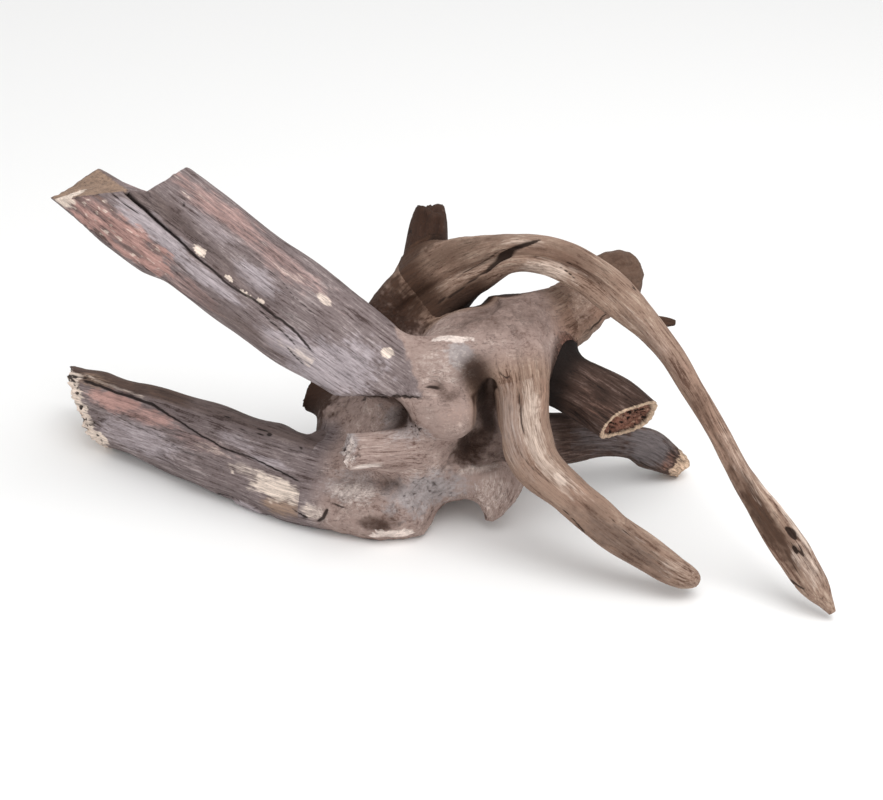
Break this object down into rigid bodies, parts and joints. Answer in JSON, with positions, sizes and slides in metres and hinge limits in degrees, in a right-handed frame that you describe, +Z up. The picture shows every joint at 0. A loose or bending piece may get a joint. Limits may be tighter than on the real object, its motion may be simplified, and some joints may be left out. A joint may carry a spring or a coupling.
{
  "type": "sinker wood",
  "caption": "Dense aquarium driftwood: a gnarled root crown with heavy broken log ends, an arched root and trailing roots that a fish can swim under.",
  "frame": {"origin": "on the worn flat under the crown, on the surface that the wood rests on", "axes": "+X runs from the log ends towards the root tips, +Y towards the back, +Z up"},
  "size_m": [0.4136, 0.2067, 0.1958],
  "materials": {
    "crown_wood": "matte, weathered, pinkish brown with pale dust on the ledges and dark hollows",
    "log_wood": "matte, weathered grey-brown with long grain cracks and pale splintered ends",
    "root_wood": "matte, weathered warm tan-brown with twisted grain",
    "dark_wood": "matte, dark grey-brown bark with reddish and pale broken ends"
  },
  "bodies": {
    "root": {"crown": "crown_wood", "upper_log": "log_wood", "lower_log": "log_wood", "front_root": "root_wood", "arch_root": "root_wood", "rear_limb": "root_wood", "hollow_stub": "dark_wood", "low_root": "dark_wood"}
  },
  "joints": []
}
